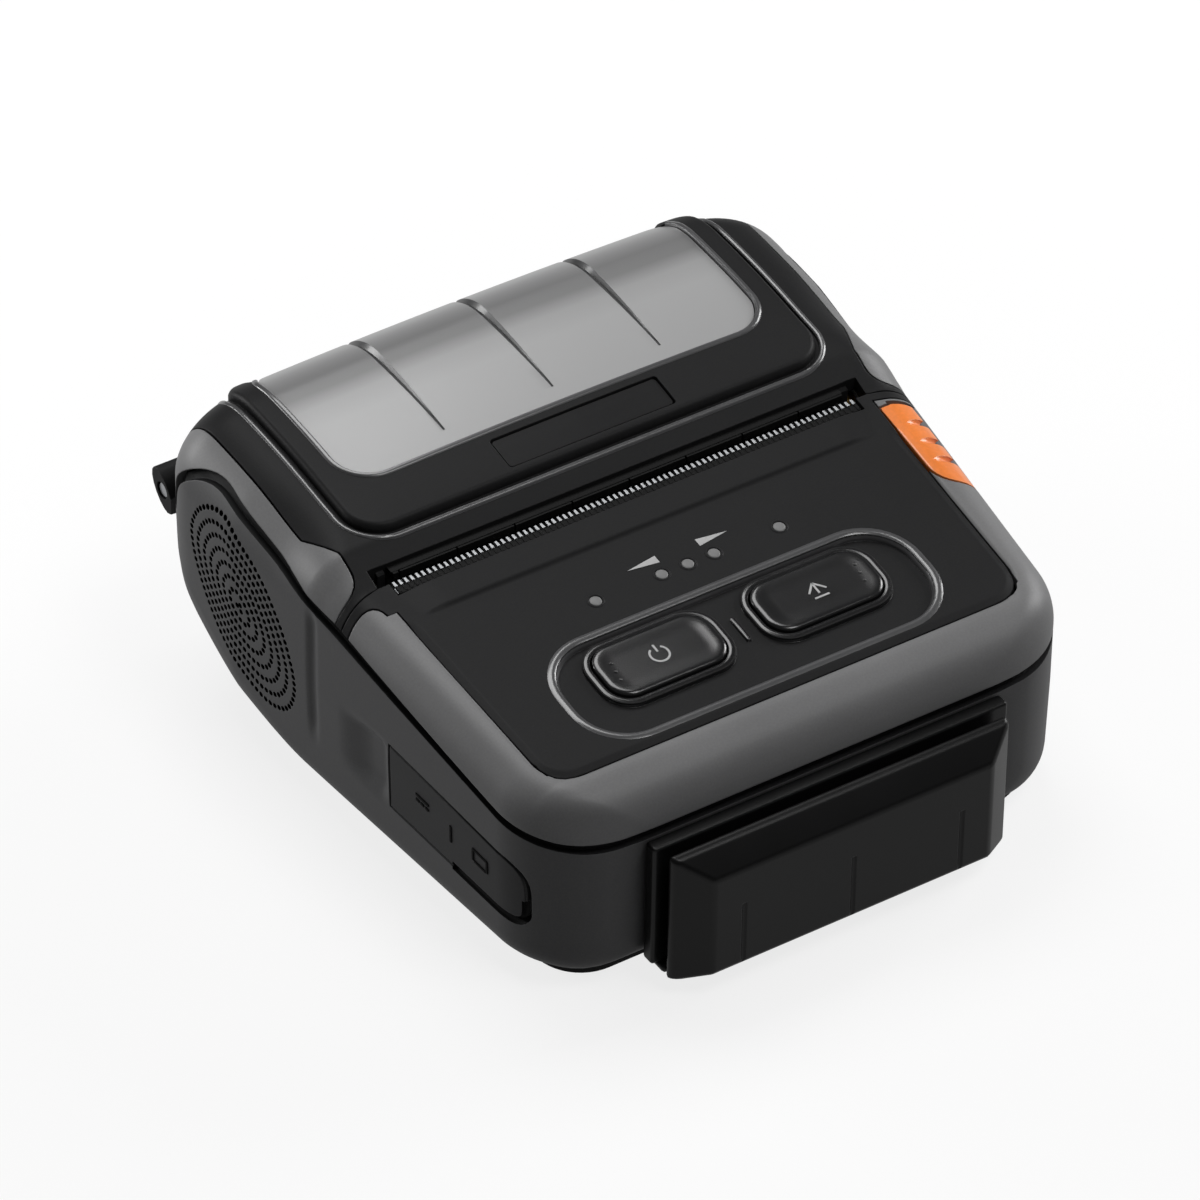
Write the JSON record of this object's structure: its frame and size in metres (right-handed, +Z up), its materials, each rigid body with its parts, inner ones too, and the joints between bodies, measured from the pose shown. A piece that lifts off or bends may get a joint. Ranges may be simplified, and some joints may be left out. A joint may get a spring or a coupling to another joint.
{
  "type": "portable receipt printer",
  "caption": "Palm-sized thermal receipt printer with a hinged paper cover, sloping keypad, tear bar, side port door and a card reader across the front.",
  "frame": {"origin": "on the table, under the middle of the object's box", "axes": "+Z up, -Y towards the card reader, +Y towards the cover's hinge, +X to the printer's right"},
  "size_m": [0.108, 0.1184, 0.0493],
  "materials": {
    "case_plastic": "dark grey, fine satin",
    "black_plastic": "black, fine texture",
    "plate_black": "black, bare",
    "grey_plastic": "mid grey, satin",
    "key_black": "glossy black",
    "lever_orange": "orange, satin to gloss",
    "lens_grey": "clouded grey lens, unlit",
    "window_smoke": "smoky grey, glossy",
    "tear_steel": "bright strip",
    "steel": "plain steel",
    "aluminium": "bare",
    "head_ceramic": "white glazed",
    "brass": "turned",
    "gear_white": "white, moulded",
    "board_green": "green lacquer",
    "foot_rubber": "black rubber",
    "roller_rubber": "black rubber"
  },
  "bodies": {
    "case": {"lower_case": "case_plastic", "base_plate": "black_plastic", "control_panel": "black_plastic", "card_reader_block": "black_plastic", "card_reader_wall": "black_plastic", "card_reader_floor": "black_plastic", "paper_bay": "black_plastic", "power_socket": "black_plastic", "front_bumper": "grey_plastic", "error_lamp": "lens_grey", "battery_lamp_low": "lens_grey", "battery_lamp_middle": "lens_grey", "battery_lamp_high": "lens_grey", "status_lamp": "lens_grey", "tear_bar": "tear_steel", "power_switch": "steel", "feed_switch": "steel", "magnetic_head": "steel", "case_screw_front_left": "steel", "case_screw_front_right": "steel", "case_screw_rear_left": "steel", "case_screw_rear_right": "steel", "serial_socket": "steel", "side_frame_left": "steel", "side_frame_right": "steel", "head_bridge": "steel", "head_spring_left": "steel", "head_spring_right": "steel", "feed_motor": "steel", "hinge_pin": "steel", "heat_sink": "aluminium", "print_head": "head_ceramic", "main_board": "board_green", "button_board": "board_green", "foot_front_left": "foot_rubber", "foot_front_right": "foot_rubber", "foot_rear_left": "foot_rubber", "foot_rear_right": "foot_rubber"},
    "power_button": {"power_button": "key_black"},
    "feed_button": {"feed_button": "key_black"},
    "release_lever": {"release_lever": "lever_orange"},
    "port_door": {"port_door": "case_plastic"},
    "battery_pack": {"battery_pack": "black_plastic"},
    "battery_catch": {"battery_catch": "grey_plastic"},
    "idler": {"idler_gear": "gear_white"},
    "motor_gear": {"motor_pinion": "brass"},
    "cover": {"cover_shell": "black_plastic", "cover_window": "window_smoke", "cover_wing_left": "grey_plastic", "cover_wing_right": "grey_plastic", "name_plate": "plate_black", "platen_bush_left": "brass", "platen_bush_right": "brass"},
    "platen": {"platen_shaft": "steel", "platen_roller": "roller_rubber", "platen_gear": "gear_white"}
  },
  "joints": [
    {"name": "cover_hinge", "type": "hinge", "parent": "case", "child": "cover", "pos_m": [0, 0.0562, 0.0275], "axis": [-1, 0, 0], "range_deg": [0, 95]},
    {"name": "release_lever_press", "type": "hinge", "parent": "case", "child": "release_lever", "pos_m": [0.045, -0.006, 0.0398], "axis": [0, 1, 0], "range_deg": [0, 4], "stiffness_Nm_per_rad": 0.5},
    {"name": "power_button_press", "type": "slide", "parent": "case", "child": "power_button", "axis": [0, 0, -1], "range_m": [0, 0.0006], "stiffness_N_per_m": 800},
    {"name": "feed_button_press", "type": "slide", "parent": "case", "child": "feed_button", "axis": [0, 0, -1], "range_m": [0, 0.0006], "stiffness_N_per_m": 800},
    {"name": "port_door_hinge", "type": "hinge", "parent": "case", "child": "port_door", "pos_m": [-0.04994, -0.0111, 0.019], "axis": [0, 0, -1], "range_deg": [0, 90]},
    {"name": "battery_slide", "type": "slide", "parent": "case", "child": "battery_pack", "axis": [0, 0, -1], "range_m": [0, 0.014]},
    {"name": "battery_catch_slide", "type": "slide", "parent": "case", "child": "battery_catch", "axis": [0, -1, 0], "range_m": [0, 0.0025], "stiffness_N_per_m": 200},
    {"name": "platen_spin", "type": "hinge", "parent": "cover", "child": "platen", "pos_m": [0, 0.0097, 0.036], "axis": [1, 0, 0], "continuous": true},
    {"name": "idler_spin", "type": "hinge", "parent": "case", "child": "idler", "pos_m": [0.0458, 0.0067, 0.0248], "axis": [1, 0, 0], "continuous": true},
    {"name": "motor_spin", "type": "hinge", "parent": "case", "child": "motor_gear", "pos_m": [0.0458, -0.00257, 0.0208], "axis": [1, 0, 0], "continuous": true}
  ],
  "couplings": [
    {"joint": "idler_spin", "follows": "platen_spin", "ratio": -0.64286},
    {"joint": "motor_spin", "follows": "platen_spin", "ratio": 1.5}
  ]
}
